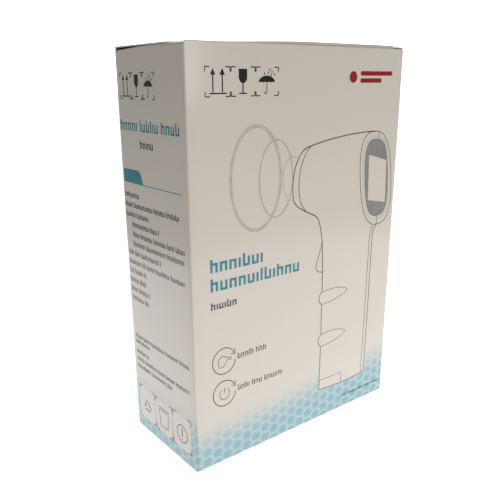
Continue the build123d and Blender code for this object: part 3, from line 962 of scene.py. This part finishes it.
def liquid_crystal():
    """The unlit display: grey green, with a faint reflector grain."""
    finish = Finish("liquid_crystal", Coat_Weight=0.5)
    grain = finish.noise(2200.0, 2.0)
    finish.colour(finish.mix(grain, (0.26, 0.31, 0.27), (0.33, 0.38, 0.33)))
    finish.roughness(0.35)
    return finish.material


def window_finish(name, colour, transmission):
    """Clear or smoked moulded window with a hard polished face."""
    finish = Finish(name, Roughness=0.04, IOR=1.49, Transmission_Weight=transmission, Coat_Weight=0.4)
    finish.colour(finish.mix(finish.noise(90.0), shade(colour, 0.96), colour))
    return finish.material


def thermometer_finishes():
    white = plastic("white_casing", (0.80, 0.80, 0.785), 0.36, Coat_Weight=0.15, Subsurface_Weight=0.06,
                    Subsurface_Radius=(0.001, 0.001, 0.001))
    blue = plastic("blue_trim", (0.14, 0.36, 0.45), 0.42)
    black = plastic("black_plastic", (0.018, 0.018, 0.02), 0.5)
    steel = metal("steel", (0.60, 0.60, 0.61), 0.28)
    nickel = metal("nickel", (0.72, 0.70, 0.66), 0.22)
    return {
        white: ("left_casing", "right_casing", "battery_door", "display_frame"),
        blue: ("nose_ring", "trigger_button"),
        black: ("reflector_cone", "sensor_holder", "buzzer", "battery_frame", "lcd_holder", "tact_switch"),
        steel: ("casing_screws", "trigger_pin", "trigger_spring", "battery_springs"),
        nickel: ("battery_contacts", "door_contact"),
        metal("sensor_can", (0.78, 0.77, 0.74), 0.14): ("thermopile_sensor",),
        window_finish("smoked_window", (0.05, 0.05, 0.055), 0.35): ("infrared_window",),
        window_finish("clear_window", (0.93, 0.95, 0.94), 0.92): ("display_window",),
        plastic("display_mask", (0.02, 0.021, 0.023), 0.12, Coat_Weight=0.8): ("display_mask",),
        plastic("chips", (0.022, 0.022, 0.024), 0.55, 1500.0): ("board_chips",),
        plastic("flat_cable", (0.42, 0.20, 0.05), 0.35): ("sensor_ribbon",),
        liquid_crystal(): ("lcd_module",),
        circuit_board(): ("main_board", "trigger_board"),
        cell_wrap(): ("batteries",),
        foam_finish(): ("foam_base",),
        leaflet_paper(): ("instruction_leaflet",),
        flap_board(): ("carton_glue_flap", "bottom_outer_flap", "bottom_inner_flap",
                       "bottom_dust_flap_left", "bottom_dust_flap_right"),
    }


def dress_cad_nodes():
    for finish, names in thermometer_finishes().items():
        for name in names:
            node = NODES[name]
            for slot in node.material_slots:
                slot.material = finish


# ---------------------------------------------------------------- stage


# glow of the floor where it lights the object, and of what the camera sees of it everywhere
FLOOR_GLOW = 0.92
FLOOR_SEEN = 0.84
POOL_X = 0.13
POOL_Y = 0.08
POOL_INNER = 0.37
POOL_OUTER = 0.47
# the side that the world is bright on, behind the object: it is dim on the others
BEHIND_X = 0.6
BEHIND_Y = 0.8
WORLD_DIM = 0.17
WORLD_BRIGHT = 1.1


def stage():
    """A pale floor and a white world. Both light the object most from under it and behind it."""
    size = 8.0
    corners = [(-size, -size), (size, -size), (size, size), (-size, size)]
    paper = Finish("floor", Roughness=0.7)
    paper.colour((0.80, 0.80, 0.79))
    x, y, _ = paper.split(paper.place())
    across = paper.math("POWER", paper.math("SUBTRACT", x, POOL_X), 2.0)
    along = paper.math("POWER", paper.math("SUBTRACT", y, POOL_Y), 2.0)
    pool = paper.ramp(paper.math("SQRT", paper.math("ADD", across, along)), POOL_OUTER, POOL_INNER)
    away = paper.math("ADD", paper.math("MULTIPLY", x, BEHIND_X), paper.math("MULTIPLY", y, BEHIND_Y))
    aside = paper.math("SUBTRACT", paper.math("MULTIPLY", x, BEHIND_Y), paper.math("MULTIPLY", y, BEHIND_X))
    behind = paper.ramp(paper.math("SUBTRACT", away, paper.math("ABSOLUTE", aside)), -0.1, 0.2)
    lit = paper.math("MULTIPLY", paper.math("MAXIMUM", pool, behind), FLOOR_GLOW)
    seen = paper.math("MULTIPLY", paper.node("ShaderNodeLightPath").outputs["Is Camera Ray"], FLOOR_SEEN)
    glow = paper.math("MAXIMUM", lit, seen)
    paper.feed(paper.shader.inputs["Emission Strength"], glow)
    paper.shader.inputs["Emission Color"].default_value = (1.0, 1.0, 1.0, 1.0)
    floor = make_object("floor", [(x, y, -0.02 * MM) for x, y in corners], [(0, 1, 2, 3)], [paper.material])
    world = bpy.data.worlds.new("studio")
    world.use_nodes = True
    tree = world.node_tree
    background = tree.nodes["Background"]
    coordinates = tree.nodes.new("ShaderNodeTexCoord")
    facing = tree.nodes.new("ShaderNodeVectorMath")
    facing.operation = "DOT_PRODUCT"
    facing.inputs[1].default_value = (BEHIND_X, BEHIND_Y, 0.0)
    tree.links.new(coordinates.outputs["Generated"], facing.inputs[0])
    ramp = tree.nodes.new("ShaderNodeMapRange")
    ramp.interpolation_type = "SMOOTHSTEP"
    for socket, value in (("From Min", 0.45), ("From Max", 0.80), ("To Min", WORLD_DIM),
                          ("To Max", WORLD_BRIGHT)):
        ramp.inputs[socket].default_value = value
    tree.links.new(facing.outputs["Value"], ramp.inputs["Value"])
    brighter = tree.nodes.new("ShaderNodeMath")
    brighter.operation = "MULTIPLY_ADD"
    tree.links.new(tree.nodes.new("ShaderNodeLightPath").outputs["Is Camera Ray"], brighter.inputs[0])
    brighter.inputs[1].default_value = 1.0
    tree.links.new(ramp.outputs[0], brighter.inputs[2])
    tree.links.new(brighter.outputs[0], background.inputs["Strength"])
    background.inputs["Color"].default_value = (1.0, 0.985, 0.95, 1.0)
    bpy.context.scene.world = world
    bpy.context.scene.view_settings.view_transform = "Standard"
    area_light("fill", (0.30, -1.10, 0.45), (0.0, 0.0, 0.08), (0.7, 0.7), 3.3, (1.0, 0.975, 0.95))
    area_light("top", (0.05, 0.10, 1.3), (0.0, 0.0, 0.1), (0.8, 0.8), 2.0, (1.0, 0.99, 0.97))


# ---------------------------------------------------------------- the whole scene


camera()
stage()
BOARD_FINISHES = [printed_board(), inner_board(), board_edge()]
carton_sleeve(BOARD_FINISHES)
FLAP_FINISHES = [INKS["white"], *BOARD_FINISHES[1:]]
carton_lid(FLAP_FINISHES)
dust_flap(-1, "dust_flap_left", FLAP_FINISHES)
dust_flap(1, "dust_flap_right", FLAP_FINISHES)
for wall_name, draw_art, first_seed in (("front", main_art, 11), ("back", main_art, 41),
                                        ("left", side_art, 71), ("right", side_art, 101)):
    art_work = Print(wall_name)
    draw_art(art_work, first_seed)
    art_work.finish()
dress_cad_nodes()
